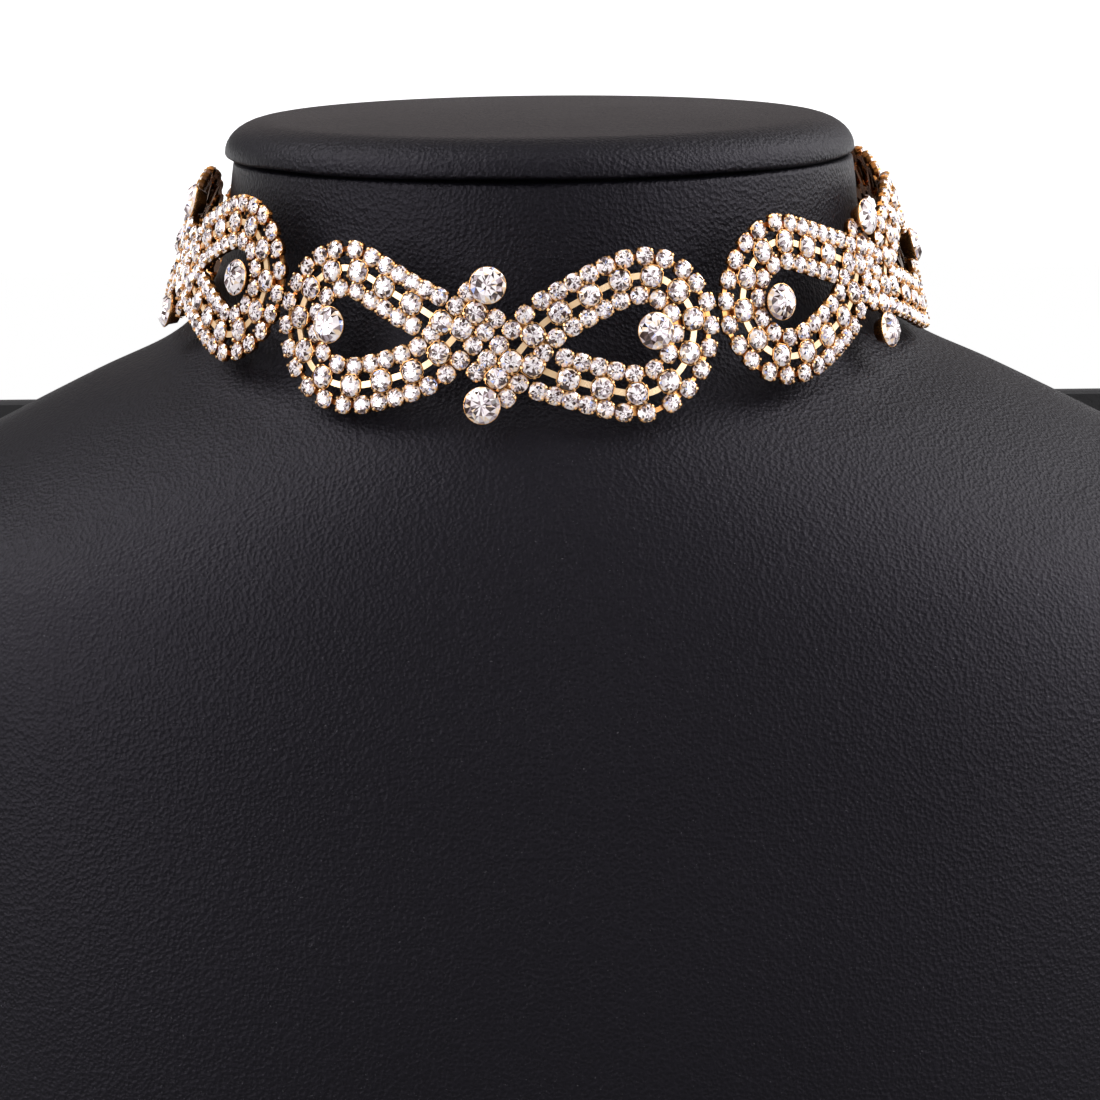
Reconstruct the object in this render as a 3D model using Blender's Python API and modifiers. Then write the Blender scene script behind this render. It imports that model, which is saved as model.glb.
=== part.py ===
"""Rhinestone choker necklace worn on a plain neck bust.

Sizes are in millimetres and angles in degrees; mesh points are turned into metres
as each object is made. +X is the wearer's left seen from the front, -Y is the front,
+Z is up. The choker is five figure-eight motifs set end to end round the neck. Each
motif is two equal halves, one turned by half a turn against the other. A half is a
three-row band that starts at the top of the crossing, runs down and round its loop
and comes back against the side of its own first arm.
"""
import math

import bmesh
import bpy
import numpy as np
from mathutils import Matrix, Vector

MM = 0.001

# Rows of set stones
ROW_SPACING = 2.75
SMALL_CUP = 2.4
MIDDLE_STONE = 3.0
UNIT_PITCH = 4.8
TABLE_SHARE = 0.58
BAR_WIDTH = 0.9
BAND_THICKNESS = 1.5
STONE_GIRDLE = 0.35
STONE_CROWN = 0.45

# Shape of one half of a motif
ARM_ANGLE = 50.7
ARM_GAP = 0.4
ARM_LENGTH = 4.9
LOOP_REACH = 29.6
LOOP_RISE = 8.2
# columns: share of LOOP_REACH, share of LOOP_RISE
LOOP_POINTS = (
    (0.330, -0.50),
    (0.650, -0.96),
    (0.850, -0.88),
    (0.970, -0.42),
    (1.000, 0.05),
    (0.950, 0.56),
    (0.840, 0.92),
    (0.690, 1.03),
    (0.380, 0.63),
)

# Big round stones
BIG_STONE = 5.4
BIG_TOP_SIDE = 0.25
BIG_TOP_RISE = 8.5
BIG_FACETS = 10
# columns: share of half BIG_STONE, height above the back of the band
BIG_PROFILE = (
    (0.56, 0.30),
    (0.78, 1.80),
    (1.00, 2.25),
    (0.88, 2.70),
    (0.52, 3.30),
)
INNER_OVERLAP = 0.55

# The loop round the neck
MOTIF_GAP = 0.3
CLASP_SPAN = 18.5
RING_DEPTH_SHARE = 1.07
RING_TILT = 9.7
BACK_SAG_SHARE = 0.30
BACK_SAG_POWER = 3
CONE_ANGLE = 16.3
TURN_ON_NECK = -8.1
# columns: name, places from the front, lift, tilt, rise of its two tips above its middle
MOTIFS = (
    ("front", 0, -1.0, 1.0, 1.9),
    ("left", -1, 0.4, 5.0, 0.0),
    ("right", 1, 0.4, -2.5, 0.0),
    ("back_left", -2, 0.0, 0.0, 0.0),
    ("back_right", 2, 0.0, 0.0, 0.0),
)

# Clasp and its rings
LINK_WIRE = 0.6
CLASP_HEIGHT = 3.4
CLASP_THICKNESS = 0.8
CLASP_EYE = 1.5
CLASP_REST = 0.6

# Bust
NECK_EASE = 7.0
NECK_TOP = 10.9
CAP_OVERHANG = 1.7
CAP_THICKNESS = 5.6
CAP_ROUNDING = 2.2
CAP_CROWN = 0.5
SEAM_GAP = 0.3
SEAT_GAP = 0.4
SEAT_DROP = 0.9
SHOULDER_HALF_WIDTH = 110.0
CHEST_DEPTH = 76.0
BACK_DEPTH = 52.0
BASE_DROP = 190.0
CHEST_DROP = 118.0
BASE_TAPER = 3.0
NECK_TUCK = 0.4
NECK_TUCK_DEPTH = 3.0
BACK_SEAT_SHARE = 0.6
BACK_SEAT_DROP = 26.0
# From the neck to the choker's lower edge.
# columns: row, share of the way out and share of the way down at front, side and back, squareness
NECK_ROWS = (
    ("nape", (0.12, 0.12, 0.0), (0.45, 0.50, 0.40), 2.0),
    ("root", (0.55, 0.50, 0.33), (0.82, 0.82, 0.73), 2.0),
    ("seat", (1.0, 1.0, 1.0), (1.0, 1.0, 1.0), 2.05),
)
# From there to the widest place.
# columns: row, share of the way out and drop in millimetres at front, side and back, squareness
SHOULDER_ROWS = (
    ("yoke", (0.20, 0.22, 1.0), (6.0, 5.3, 10.0), 2.15),
    ("shoulder", (0.42, 0.53, 1.0), (15.0, 13.4, 20.0), 2.3),
    ("shoulder_end", (0.64, 0.86, 1.0), (29.0, 22.7, 32.0), 2.5),
    ("arm", (0.84, 1.0, 1.0), (52.0, 41.2, 54.0), 2.7),
)
BASE_SQUARENESS = 2.8
SLOPE_POWER = 1.2
BUST_SIDES = 32
LOFT_STEPS = 2

# The flat board behind the bust
BOARD_THICKNESS = 3.0
BOARD_MARGIN = 6.0
BOARD_TOP_DROP = 33.5
BOARD_CORNER = 12.0

HALF_BAND = ROW_SPACING + SMALL_CUP / 2
ARM_OFFSET = HALF_BAND + ARM_GAP / 2
MOTIF_PITCH = 2 * (LOOP_REACH + HALF_BAND) + MOTIF_GAP
RING_LENGTH = len(MOTIFS) * MOTIF_PITCH + CLASP_SPAN
BIG_RADIUS = BIG_STONE / 2


def clear_scene():
    for item in list(bpy.data.objects):
        bpy.data.objects.remove(item, do_unlink=True)


def make_collections():
    model = bpy.data.collections.new("choker_necklace_on_bust")
    cutters = bpy.data.collections.new("cutters")
    for group in (model, cutters):
        bpy.context.scene.collection.children.link(group)
    return model, cutters


def make_material(name, colour, roughness, metallic):
    material = bpy.data.materials.new(name)
    material.use_nodes = True
    shader = material.node_tree.nodes["Principled BSDF"]
    shader.inputs["Base Color"].default_value = (*colour, 1.0)
    shader.inputs["Roughness"].default_value = roughness
    shader.inputs["Metallic"].default_value = metallic
    return material


def add_object(name, mesh, material, group):
    piece = bpy.data.objects.new(name, mesh)
    mesh.materials.clear()
    mesh.materials.append(material)
    group.objects.link(piece)
    return piece


def mesh_from(bm, name):
    """Turns a bmesh in millimetres into a mesh in metres with its faces pointing out."""
    bmesh.ops.recalc_face_normals(bm, faces=bm.faces)
    bmesh.ops.scale(bm, vec=(MM, MM, MM), verts=bm.verts)
    mesh = bpy.data.meshes.new(name)
    bm.to_mesh(mesh)
    bm.free()
    return mesh


# Curves that the bands follow


def smooth_through(points, steps):
    """Points on a Catmull-Rom curve through the given points, ends included."""
    knots = np.array(points, dtype=float)
    before = 2 * knots[0] - knots[1]
    after = 2 * knots[-1] - knots[-2]
    padded = np.vstack([before, knots, after])
    found = []
    for k in range(1, len(padded) - 2):
        p0, p1, p2, p3 = padded[k - 1:k + 3]
        for step in range(steps):
            f = step / steps
            found.append(0.5 * (2 * p1 + (p2 - p0) * f + (2 * p0 - 5 * p1 + 4 * p2 - p3) * f ** 2
                                + (3 * p1 - p0 - 3 * p2 + p3) * f ** 3))
    found.append(knots[-1])
    return np.array(found)


def turned(x, y, degrees):
    c = math.cos(math.radians(degrees))
    s = math.sin(math.radians(degrees))
    return x * c - y * s, x * s + y * c


class HalfPath:
    """Middle line of one half of a motif, in the flat plane of the motif."""

    def __init__(self):
        angle = math.radians(ARM_ANGLE)
        self.down = np.array([-math.cos(angle), -math.sin(angle)])
        self.aside = np.array([-math.sin(angle), math.cos(angle)])
        self.foot = ARM_OFFSET * self.aside
        big_top = np.array([BIG_TOP_SIDE, BIG_TOP_RISE])
        start = (big_top - self.foot) @ self.down + BIG_RADIUS * BIG_PROFILE[1][0] + MOTIF_GAP
        arm = [self.foot + start * self.down, self.foot, self.foot + ARM_LENGTH * self.down]
        loop = [np.array([-LOOP_REACH * reach, LOOP_RISE * rise]) for reach, rise in LOOP_POINTS]
        away = loop[-1] - loop[-2]
        away = away / np.linalg.norm(away)
        run = (self.from_arm(loop[-1]) - HALF_BAND - ARM_GAP) / -(away @ self.aside)
        line = smooth_through(arm + loop + [loop[-1] + run * away], 12)
        self.line = line
        self.along = np.concatenate([[0.0], np.cumsum(np.linalg.norm(np.diff(line, axis=0), axis=1))])
        self.length = float(self.along[-1])

    def from_arm(self, point):
        """How far a point lies to the side of the first arm's middle line."""
        return float((point - self.foot) @ self.aside)

    def middle(self, s):
        return np.array([np.interp(s, self.along, self.line[:, k]) for k in (0, 1)])

    def heading(self, s):
        step = 0.4
        way = self.middle(min(s + step, self.length)) - self.middle(max(s - step, 0.0))
        return way / np.linalg.norm(way)

    def place(self, s, t):
        """Flat point at length s along the line and t to its outer side."""
        way = self.heading(s)
        return self.middle(s) + t * np.array([-way[1], way[0]])

    def place_at_end(self, t):
        """As place, at the end of the line, pulled up to the side of the first arm."""
        way = self.heading(self.length)
        point = self.place(self.length, t)
        short = self.from_arm(point) - HALF_BAND - ARM_GAP
        return point + way * short / -float(way @ self.aside)


class Neckline:
    """The loop round the neck: a tilted oval whose back sags, widening downwards."""

    def __init__(self):
        t = np.linspace(-math.pi, math.pi, 1441)
        shape = self.shape(t)
        unit = np.concatenate([[0.0], np.cumsum(np.linalg.norm(np.diff(shape, axis=0), axis=1))])
        self.radius = RING_LENGTH / unit[-1]
        self.turns = t
        self.along = unit * self.radius - RING_LENGTH / 2

    @staticmethod
    def shape(t):
        depth = RING_DEPTH_SHARE
        x = np.sin(t)
        y = -depth * np.cos(t)
        sag = BACK_SAG_SHARE * ((1 - np.cos(t)) / 2) ** BACK_SAG_POWER
        z = y * math.tan(math.radians(RING_TILT)) - sag
        return np.stack([x, y, z], axis=-1)

    def frame(self, u):
        """Centre point, outward and upward directions of the band at length u."""
        u = (u + RING_LENGTH / 2) % RING_LENGTH - RING_LENGTH / 2
        t = float(np.interp(u, self.along, self.turns))
        step = 0.002
        ahead, here, behind = self.shape(np.array([t + step, t, t - step])) * self.radius
        way = Vector(ahead - behind).normalized()
        level = Vector((way.y, -way.x, 0.0)).normalized()
        rise = way.cross(level) * -1.0
        lean = math.radians(CONE_ANGLE - RING_TILT * math.cos(t))
        up = rise * math.cos(lean) - level * math.sin(lean)
        out = level * math.cos(lean) + rise * math.sin(lean)
        return Vector(here), out, up

    def point(self, u, v, w):
        """Point u along the loop, v up the band and w out from its back."""
        centre, out, up = self.frame(u)
        return centre + up * v + out * w


def motif_point(neckline, motif, half, x, y, w):
    """Maps a flat point of a motif's half onto the neckline. half is 1 or -1."""
    name, place, lift, tilt, bow = motif
    rise = lift + bow * (2 * x / MOTIF_PITCH) ** 2
    x, y = turned(x * half, y * half, tilt)
    return neckline.point(TURN_ON_NECK + place * MOTIF_PITCH + x, rise + y, w)


# Bands


def band_columns(path):
    """Lengths along the path where cells meet, each cell's kind, and the stones' places."""
    reach = MIDDLE_STONE / 2
    first = reach - STONE_GIRDLE
    last = path.length - UNIT_PITCH / 2 - SMALL_CUP / 2
    second = first + MIDDLE_STONE
    count = round((last - second) / UNIT_PITCH)
    pitch = (last - second) / count
    places = [first] + [second + k * pitch for k in range(count + 1)]
    edges = [0.0, first + reach, second + reach]
    kinds = ["stone", "stone"]
    tip = min(range(len(places)), key=lambda k: path.middle(places[k])[0])
    for k in range(2, len(places)):
        gap = k - 1
        from_tip = gap - tip if gap >= tip else tip - 1 - gap
        kinds += ["pierced" if from_tip % 2 == 0 and gap > 1 else "gap", "stone"]
        edges += [places[k] - reach, places[k] + reach]
    edges.append(path.length)
    kinds.append("gap")
    return edges, kinds, places


def window_at_tip(path):
    """Length along the path of the pierced gaps just before and after the tip."""
    edges, kinds, places = band_columns(path)
    tip = min(places, key=lambda s: path.middle(s)[0])
    middles = [(edges[k] + edges[k + 1]) / 2 for k, kind in enumerate(kinds) if kind == "pierced"]
    return max(s for s in middles if s < tip), min(s for s in middles if s > tip)


def raise_stone(bm, face, centre):
    """Turns a square cell of the band into a cut stone with eight facets and a table."""
    radius = MIDDLE_STONE / 2
    rings = (
        (radius, BAND_THICKNESS + STONE_GIRDLE),
        (radius * TABLE_SHARE, BAND_THICKNESS + STONE_GIRDLE + STONE_CROWN),
    )
    for ring_radius, height in rings:
        face = bmesh.ops.extrude_discrete_faces(bm, faces=[face])["faces"][0]
        corners = sorted(face.verts, key=lambda v: math.atan2(v.co.y, v.co.x - centre))
        for k, corner in enumerate(corners):
            angle = math.radians(-157.5 + 45.0 * k)
            corner.co = (centre + ring_radius * math.cos(angle), ring_radius * math.sin(angle), height)


def flat_band(path):
    """The band unrolled: X along its path, Y across it and Z out from its back."""
    edges, kinds, places = band_columns(path)
    inner = ROW_SPACING - SMALL_CUP / 2
    bar = BAR_WIDTH / 2
    rows = (-HALF_BAND, -inner, -bar, bar, inner, HALF_BAND)
    bm = bmesh.new()
    cells = len(kinds)
    strips = len(rows) - 1
    bmesh.ops.create_grid(bm, x_segments=cells, y_segments=strips, size=1.0)
    for v in bm.verts:
        column = round((v.co.x + 1) / 2 * cells)
        row = round((v.co.y + 1) / 2 * strips)
        v.co = (edges[column], rows[row], 0.0)
    windows = []
    for face in bm.faces:
        centre = face.calc_center_median()
        cell = np.searchsorted(edges, centre.x) - 1
        if kinds[cell] == "pierced" and bar < abs(centre.y) < inner:
            windows.append(face)
    bmesh.ops.delete(bm, geom=windows, context="FACES_ONLY")
    raised = bmesh.ops.extrude_face_region(bm, geom=bm.faces[:], use_keep_orig=True)["geom"]
    top = [item for item in raised if isinstance(item, bmesh.types.BMFace)]
    for v in {v for face in top for v in face.verts}:
        v.co.z = BAND_THICKNESS
    settings = {place: [] for place in places}
    for face in top:
        centre = face.calc_center_median()
        cell = np.searchsorted(edges, centre.x) - 1
        if kinds[cell] == "stone" and abs(centre.y) < inner:
            settings[min(places, key=lambda s: abs(s - centre.x))].append(face)
    for place, faces in settings.items():
        merged = bmesh.ops.dissolve_faces(bm, faces=faces)["region"][0]
        raise_stone(bm, merged, place)
    return bm


def make_band(neckline, path, motif, half, name):
    bm = flat_band(path)
    for v in bm.verts:
        s, t, w = v.co
        at_end = s > path.length - MM
        x, y = path.place_at_end(t) if at_end else path.place(s, t)
        v.co = motif_point(neckline, motif, half, x, y, w)
    return mesh_from(bm, name)


# Big stones


def make_big_stone(neckline, motif, half, x, y, name):
    """A round cup with its cut stone, standing on the band's plane."""
    bm = bmesh.new()
    radius, height = BIG_PROFILE[0]
    bmesh.ops.create_circle(bm, cap_ends=True, segments=BIG_FACETS, radius=radius * BIG_RADIUS)
    bmesh.ops.translate(bm, verts=bm.verts, vec=(0.0, 0.0, height))
    bottom = bm.faces[:][0]
    face = bmesh.ops.extrude_face_region(bm, geom=[bottom], use_keep_orig=True)["geom"]
    face = [item for item in face if isinstance(item, bmesh.types.BMFace)][0]
    for level, (share, height) in enumerate(BIG_PROFILE[1:]):
        if level > 0:
            face = bmesh.ops.extrude_discrete_faces(bm, faces=[face])["faces"][0]
        for v in face.verts:
            flat = Vector((v.co.x, v.co.y)).normalized() * share * BIG_RADIUS
            v.co = (flat.x, flat.y, height)
    centre = motif_point(neckline, motif, half, x, y, 0.0)
    side = (motif_point(neckline, motif, half, x + 1.0, y, 0.0) - centre).normalized()
    out = (motif_point(neckline, motif, half, x, y, 1.0) - centre).normalized()
    up = out.cross(side).normalized()
    turn = Matrix((side, up, out)).transposed().to_4x4()
    bmesh.ops.transform(bm, matrix=Matrix.Translation(centre) @ turn, verts=bm.verts)
    return mesh_from(bm, name)


def big_stone_places():
    inner = -LOOP_REACH + HALF_BAND - INNER_OVERLAP + BIG_RADIUS
    return ((BIG_TOP_SIDE, BIG_TOP_RISE), (inner, 0.0))


# Clasp


def clasp_eyes(neckline, path):
    """For both ends of the loop: window and eye as (u, v), nearest the clasp."""
    before, after = window_at_tip(path)
    inner = ROW_SPACING - SMALL_CUP / 2
    across = (BAR_WIDTH / 2 + inner) / 2
    tip = LOOP_REACH + HALF_BAND + MOTIF_GAP + CLASP_HEIGHT / 2
    found = []
    for half, place, s in ((1, min(m[1] for m in MOTIFS), after), (-1, max(m[1] for m in MOTIFS), before)):
        x, y = path.place(s, across)
        middle = TURN_ON_NECK + place * MOTIF_PITCH
        window = (middle + half * x, half * y)
        eye = (middle - half * tip, window[1])
        found.append((window, eye))
    return found


def make_link(neckline, window, eye, name):
    """A round ring through a window of the band and through the clasp's eye."""
    middle = (window[0] + eye[0]) / 2
    centre = neckline.point(middle, window[1], CLASP_REST + CLASP_THICKNESS / 2)
    out, up = neckline.frame(middle)[1:]
    major = abs(window[0] - eye[0]) / 2
    bpy.ops.mesh.primitive_torus_add(
        major_segments=14, minor_segments=6, major_radius=major, minor_radius=LINK_WIRE / 2)
    ring = bpy.context.object
    mesh = ring.data
    mesh.name = name
    bpy.data.objects.remove(ring, do_unlink=True)
    along = out.cross(up)
    turn = Matrix((along, out, up)).transposed().to_4x4()
    mesh.transform(Matrix.Scale(MM, 4) @ Matrix.Translation(centre) @ turn)
    return mesh


def arc_points(centre, radius, first, step, count):
    turns = [math.radians(first + step * k) for k in range(count)]
    return [(centre[0] + radius * math.cos(turn), centre[1] + radius * math.sin(turn)) for turn in turns]


def make_clasp(neckline, eyes, name):
    """A plain bar with rounded ends and an eye at each end, bent to the neckline."""
    outline = []
    for eye, first in zip(eyes, (90.0, -90.0)):
        outline += arc_points(eye, CLASP_HEIGHT / 2, first, 22.5, 9)
    shape = bpy.data.curves.new(name, "CURVE")
    shape.dimensions = "2D"
    shape.fill_mode = "BOTH"
    shape.extrude = CLASP_THICKNESS / 2
    for loop in [outline] + [arc_points(eye, CLASP_EYE / 2, 0.0, 36.0, 10) for eye in eyes]:
        spline = shape.splines.new("POLY")
        spline.points.add(len(loop) - 1)
        spline.use_cyclic_u = True
        for spot, (u, v) in zip(spline.points, loop):
            spot.co = (u, v, 0.0, 1.0)
    plan = bpy.data.objects.new(name, shape)
    bpy.context.scene.collection.objects.link(plan)
    evaluated = plan.evaluated_get(bpy.context.evaluated_depsgraph_get())
    mesh = bpy.data.meshes.new_from_object(evaluated)
    bpy.data.objects.remove(plan, do_unlink=True)
    bm = bmesh.new()
    bm.from_mesh(mesh)
    bmesh.ops.remove_doubles(bm, verts=bm.verts, dist=0.0001)
    for v in bm.verts:
        v.co = neckline.point(v.co.x, v.co.y, CLASP_REST + CLASP_THICKNESS / 2 + v.co.z)
    return mesh_from(bm, name)


# Bust


def lowest_reach(path):
    """How far the motifs reach below the middle of the loop round the neck."""
    lengths = np.linspace(0.0, path.length, 100)
    edge = [path.place(s, HALF_BAND) for s in lengths]
    return max(-lift - bow * (2 * x / MOTIF_PITCH) ** 2 - turned(x * half, y * half, tilt)[1]
               for name, place, lift, tilt, bow in MOTIFS for half in (1, -1) for x, y in edge)


def bust_sections(neckline, path):
    """Rows of the bust from the neck's top to its base, front, side and back of each.

    The row called seat passes just inside the lower edge of the choker.
    """
    neck = neckline.radius - NECK_EASE
    reach = lowest_reach(path)
    front = neckline.point(0.0, -reach, 0.0)
    side = neckline.point(RING_LENGTH / 4, -reach, 0.0)
    seats = (-front.y - SEAT_GAP, side.x - SEAT_GAP, neck + (BACK_DEPTH - neck) * BACK_SEAT_SHARE)
    heights = (front.z - SEAT_DROP, side.z - SEAT_DROP, -BACK_SEAT_DROP)
    widest = (CHEST_DEPTH, SHOULDER_HALF_WIDTH, BACK_DEPTH)
    rows = [
        (neck - NECK_TUCK,) * 3 + (NECK_TOP,) * 3 + (2.0,),
        (neck,) * 3 + (NECK_TOP - NECK_TUCK_DEPTH,) * 3 + (2.0,),
    ]
    for name, outs, downs, power in NECK_ROWS:
        reaches = [neck + (seat - neck) * share for seat, share in zip(seats, outs)]
        levels = [NECK_TOP + (height - NECK_TOP) * share for height, share in zip(heights, downs)]
        rows.append((*reaches, *levels, power))
    for name, outs, drops, power in SHOULDER_ROWS:
        reaches = [seat + (wide - seat) * share for seat, wide, share in zip(seats, widest, outs)]
        levels = [height - drop for height, drop in zip(heights, drops)]
        rows.append((*reaches, *levels, power))
    foot = (CHEST_DEPTH - BASE_TAPER, SHOULDER_HALF_WIDTH - 2 * BASE_TAPER, BACK_DEPTH)
    rows.append(widest + (-CHEST_DROP,) * 3 + (BASE_SQUARENESS,))
    rows.append(foot + (-BASE_DROP,) * 3 + (BASE_SQUARENESS,))
    return rows


def section_point(row, angle):
    """Point of a bust row at an angle from the front."""
    front_r, side_r, back_r, front_z, side_z, back_z, power = row
    c = math.cos(angle)
    s = math.sin(angle)
    exponent = 2.0 / power
    depth = front_r if c > 0 else back_r
    height = front_z if c > 0 else back_z
    back_exponent = exponent if c > 0 else exponent * (0.35 + 0.65 * (2.0 / power) ** 2)
    x = side_r * math.copysign(abs(s) ** exponent, s)
    y = -depth * math.copysign(abs(c) ** back_exponent, c)
    z = side_z + (height - side_z) * abs(c) ** SLOPE_POWER
    return Vector((x, y, z))


def make_bust(neckline, path, name):
    rows = smooth_through(bust_sections(neckline, path), LOFT_STEPS)
    bm = bmesh.new()
    levels = len(rows)
    bmesh.ops.create_cone(bm, cap_ends=False, segments=BUST_SIDES, radius1=1.0, radius2=1.0, depth=1.0)
    upright = [edge for edge in bm.edges if abs(edge.verts[0].co.z - edge.verts[1].co.z) > 0.5]
    bmesh.ops.subdivide_edges(bm, edges=upright, cuts=levels - 2, use_grid_fill=False)
    heights = sorted({round(v.co.z, 5) for v in bm.verts}, reverse=True)
    for v in bm.verts:
        level = min(range(levels), key=lambda k: abs(heights[k] - v.co.z))
        angle = math.atan2(v.co.x, -v.co.y)
        v.co = section_point(rows[level], angle)
    bmesh.ops.holes_fill(bm, edges=[edge for edge in bm.edges if edge.is_boundary], sides=0)
    return mesh_from(bm, name)


def make_cap(neckline, name, material, group):
    """The padded round cap, a turned profile, over a narrow seam."""
    radius = neckline.radius - NECK_EASE + CAP_OVERHANG
    bottom = NECK_TOP + SEAM_GAP
    top = bottom + CAP_THICKNESS
    profile = [(0.0, top + CAP_CROWN), (radius * 0.5, top + CAP_CROWN * 0.8)]
    rim = radius - CAP_ROUNDING
    for k in range(5):
        angle = math.radians(90.0 - 22.5 * k)
        profile.append((rim + CAP_ROUNDING * math.cos(angle), top - CAP_ROUNDING * (1 - math.sin(angle))))
    low_round = CAP_ROUNDING * 0.6
    for k in range(4):
        angle = math.radians(-30.0 * k)
        profile.append((radius - low_round + low_round * math.cos(angle),
                        bottom + low_round * (1 + math.sin(angle))))
    profile.append((0.0, bottom))
    mesh = bpy.data.meshes.new(name)
    points = [(x * MM, 0.0, z * MM) for x, z in profile]
    mesh.from_pydata(points, [(k, k + 1) for k in range(len(points) - 1)], [])
    cap = add_object(name, mesh, material, group)
    screw = cap.modifiers.new("turned", "SCREW")
    screw.steps = BUST_SIDES
    screw.render_steps = BUST_SIDES
    screw.use_merge_vertices = True
    screw.merge_threshold = 0.00001
    screw.use_smooth_shade = True
    return cap


def make_board(name):
    """The flat board behind the shoulders, its upper corners rounded."""
    half = SHOULDER_HALF_WIDTH + BOARD_MARGIN
    height = BASE_DROP - BOARD_TOP_DROP
    bpy.ops.mesh.primitive_cube_add(size=1.0)
    cube = bpy.context.object
    mesh = cube.data
    mesh.name = name
    bpy.data.objects.remove(cube, do_unlink=True)
    bm = bmesh.new()
    bm.from_mesh(mesh)
    bmesh.ops.scale(bm, vec=(2 * half, BOARD_THICKNESS, height), verts=bm.verts)
    bmesh.ops.translate(
        bm, verts=bm.verts,
        vec=(0.0, BACK_DEPTH + SEAM_GAP + BOARD_THICKNESS / 2, -BOARD_TOP_DROP - height / 2))
    corners = []
    for edge in bm.edges:
        a, b = (v.co for v in edge.verts)
        if abs(a.y - b.y) > BOARD_THICKNESS / 2 and a.z > -BASE_DROP + height / 2:
            corners.append(edge)
    bmesh.ops.bevel(bm, geom=corners, offset=BOARD_CORNER, segments=6, profile=0.5, affect="EDGES")
    return mesh_from(bm, name)


def centre_on_base(pieces):
    """Moves the whole model so that its origin is at the middle of its underside."""
    bpy.context.view_layer.update()
    graph = bpy.context.evaluated_depsgraph_get()
    corners = []
    for piece in pieces:
        shape = piece.evaluated_get(graph)
        corners += [shape.matrix_world @ Vector(corner) for corner in shape.bound_box]
    low = Vector([min(c[k] for c in corners) for k in range(3)])
    high = Vector([max(c[k] for c in corners) for k in range(3)])
    shift = Vector((-(low.x + high.x) / 2, -(low.y + high.y) / 2, -low.z))
    for piece in pieces:
        piece.location += shift


def build():
    clear_scene()
    model, cutters = make_collections()
    gold = make_material("pale_gold", (0.86, 0.66, 0.42), 0.22, 1.0)
    crystal = make_material("clear_crystal", (0.90, 0.88, 0.90), 0.05, 0.0)
    leatherette = make_material("black_leatherette", (0.018, 0.018, 0.022), 0.55, 0.0)
    board = make_material("black_board", (0.012, 0.012, 0.014), 0.7, 0.0)

    neckline = Neckline()
    path = HalfPath()
    pieces = []

    def keep(name, mesh, material):
        pieces.append(add_object(name, mesh, material, model))

    keep("bust_form", make_bust(neckline, path, "bust_form"), leatherette)
    pieces.append(make_cap(neckline, "bust_cap", leatherette, model))
    keep("back_board", make_board("back_board"), board)
    for motif in MOTIFS:
        for half, side, places in ((1, "a", ("top", "inner_a")), (-1, "b", ("bottom", "inner_b"))):
            name = f"{motif[0]}_band_{side}"
            keep(name, make_band(neckline, path, motif, half, name), gold)
            for (x, y), spot in zip(big_stone_places(), places):
                name = f"{motif[0]}_stone_{spot}"
                keep(name, make_big_stone(neckline, motif, half, x, y, name), crystal)
    ends = clasp_eyes(neckline, path)
    for (window, eye), side in zip(ends, ("left", "right")):
        name = f"clasp_ring_{side}"
        keep(name, make_link(neckline, window, eye, name), gold)
    left_eye = (ends[0][1][0] + RING_LENGTH, ends[0][1][1])
    keep("clasp", make_clasp(neckline, (ends[1][1], left_eye), "clasp"), gold)
    centre_on_base(pieces)


build()
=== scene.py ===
"""The finished look of a rhinestone choker on a leatherette neck bust.

Sizes are in millimetres and angles in degrees, as in the model's own source. Points are
worked out round the middle of the loop on the neck and moved into the frame as each
mesh is made. The five motifs are alike: two interlaced halves, each a band of three
rows of set stones that ends beside its own first arm.
"""
import math

import bmesh
import bpy
import numpy as np
from mathutils import Matrix, Vector


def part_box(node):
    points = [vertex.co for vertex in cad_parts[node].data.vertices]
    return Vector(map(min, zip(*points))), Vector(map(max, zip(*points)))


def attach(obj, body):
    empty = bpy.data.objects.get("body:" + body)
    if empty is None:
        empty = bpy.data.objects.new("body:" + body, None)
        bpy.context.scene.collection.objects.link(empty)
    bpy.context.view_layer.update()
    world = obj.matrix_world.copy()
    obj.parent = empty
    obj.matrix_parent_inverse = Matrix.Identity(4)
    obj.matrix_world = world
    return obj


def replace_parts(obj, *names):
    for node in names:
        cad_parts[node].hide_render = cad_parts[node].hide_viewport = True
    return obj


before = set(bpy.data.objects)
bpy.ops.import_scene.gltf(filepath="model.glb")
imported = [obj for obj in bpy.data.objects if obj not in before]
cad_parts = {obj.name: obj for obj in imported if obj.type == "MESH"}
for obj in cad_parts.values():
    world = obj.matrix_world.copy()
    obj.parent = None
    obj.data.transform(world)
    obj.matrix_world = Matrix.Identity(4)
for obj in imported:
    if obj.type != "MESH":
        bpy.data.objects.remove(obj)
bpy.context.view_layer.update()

MM = 0.001

# Rows of set stones
ROW_SPACING = 2.75
SMALL_CUP = 2.4
MIDDLE_STONE = 3.0
UNIT_PITCH = 4.8
FIRST_STONE = 1.75
ROW_END_GAP = 1.65
ROW_END_SEARCH = 8.0
OUTER_PACE = 2.6
INNER_PACE = 2.45
# The inner row is set wider where a millimetre of the path is shorter than this in it.
TIGHT_BEND = 0.98
BEND_SPREAD = 0.3
BEND_EASE = 0.22
BEND_WINDOW = 6.0
FINE_STEP = 0.1
# Along the path: the inner row's first three stones from the middle row's, and the step after them
INNER_FIRST = -1.4
INNER_SECOND = -1.75
INNER_FILLED = 1.3
INNER_NEXT = 2.5

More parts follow.
